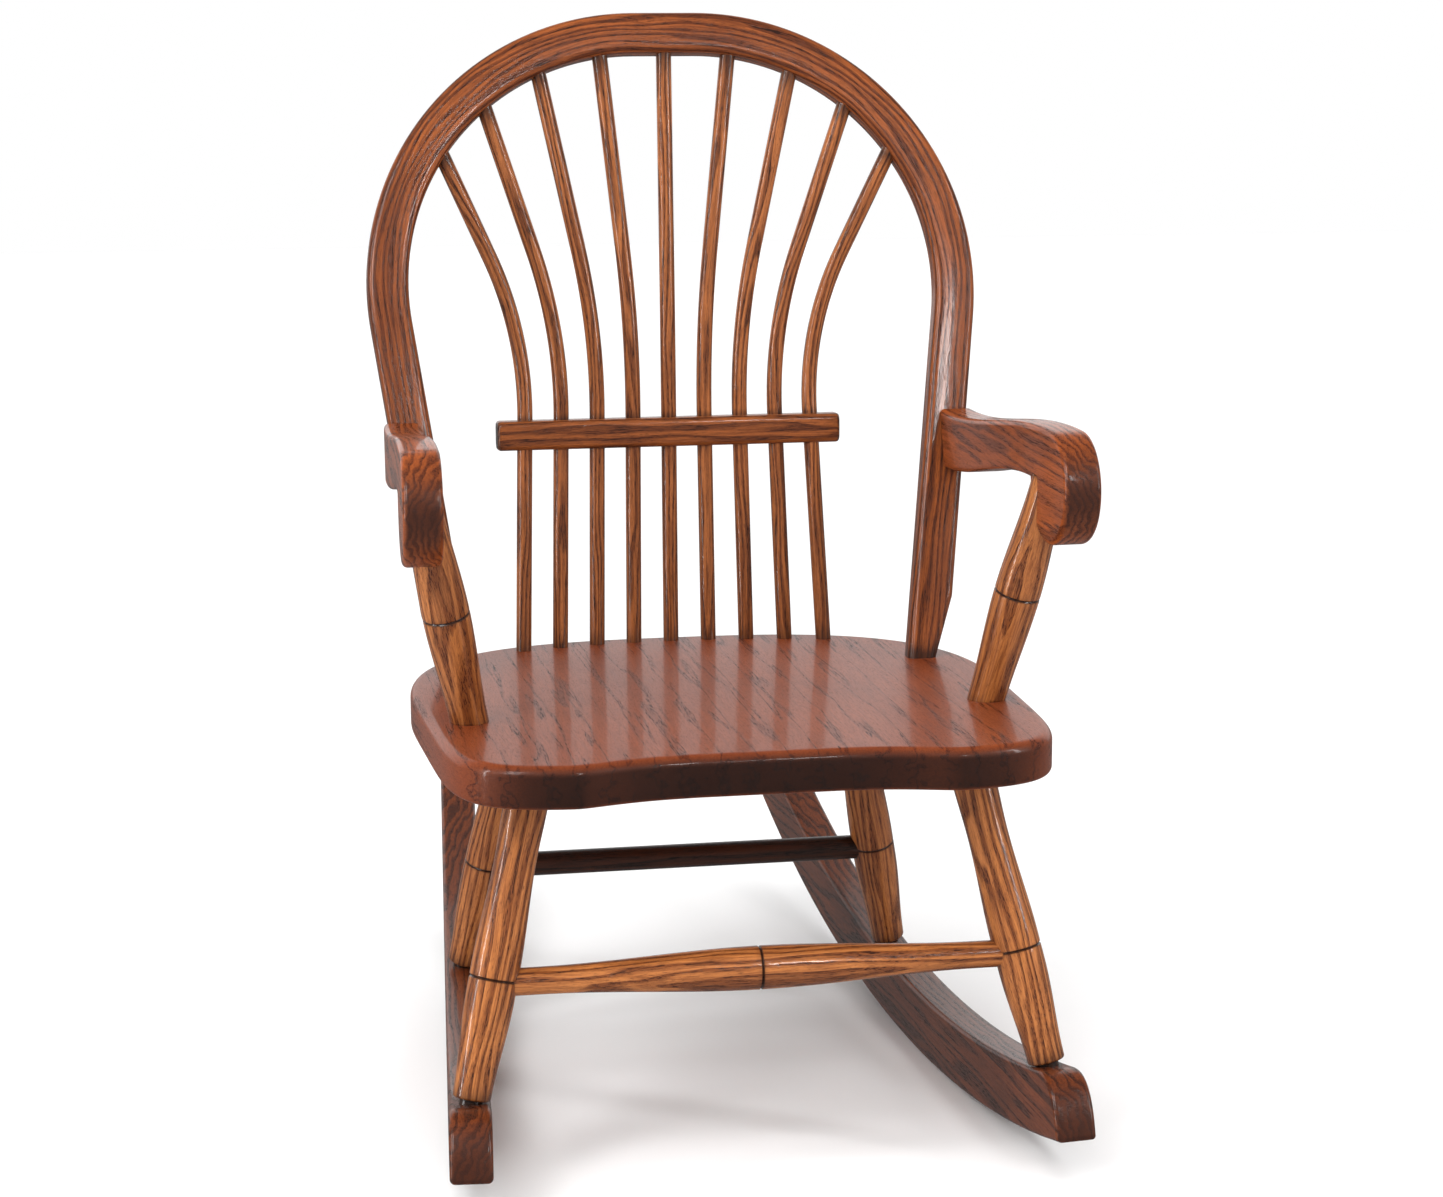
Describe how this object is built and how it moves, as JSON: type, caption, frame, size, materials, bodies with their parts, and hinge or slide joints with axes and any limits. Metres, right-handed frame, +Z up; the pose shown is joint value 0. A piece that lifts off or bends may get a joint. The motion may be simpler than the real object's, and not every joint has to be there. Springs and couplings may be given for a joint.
{
  "type": "rocking chair",
  "caption": "Child's bow-back rocking chair in stained oak: solid seat, fanned spindles through a crossbar, scrolled arms on turned posts, turned legs on curved rockers.",
  "frame": {"origin": "on the floor, under the middle of the chair's outside box", "axes": "+Z up, the front of the chair faces -Y, +X to the right of a person looking at the chair's front"},
  "size_m": [0.416, 0.6632, 0.6953],
  "materials": {
    "oak_seat": "gloss lacquer over red-brown stain",
    "oak_bent": "gloss lacquer over red-brown stain",
    "oak_turned": "gloss lacquer over golden-brown stain",
    "oak_arm": "gloss lacquer over red-brown stain",
    "oak_rocker": "gloss lacquer over dark red-brown stain",
    "oak_plug": "gloss lacquer over red-brown stain",
    "steel_screw": "plain zinc-plated steel"
  },
  "bodies": {
    "root": {"seat": "oak_seat", "bow": "oak_bent", "crossbar": "oak_turned", "spindle_1": "oak_bent", "spindle_2": "oak_bent", "spindle_3": "oak_bent", "spindle_4": "oak_bent", "spindle_5": "oak_bent", "spindle_6": "oak_bent", "spindle_7": "oak_bent", "spindle_8": "oak_bent", "spindle_9": "oak_bent", "arm_left": "oak_arm", "arm_right": "oak_arm", "arm_post_left": "oak_turned", "arm_post_right": "oak_turned", "leg_front_left": "oak_turned", "leg_front_right": "oak_turned", "leg_rear_left": "oak_turned", "leg_rear_right": "oak_turned", "stretcher_front": "oak_turned", "stretcher_rear": "oak_turned", "rocker_left": "oak_rocker", "rocker_right": "oak_rocker", "arm_screws": "steel_screw", "screw_plugs": "oak_plug"}
  },
  "joints": []
}
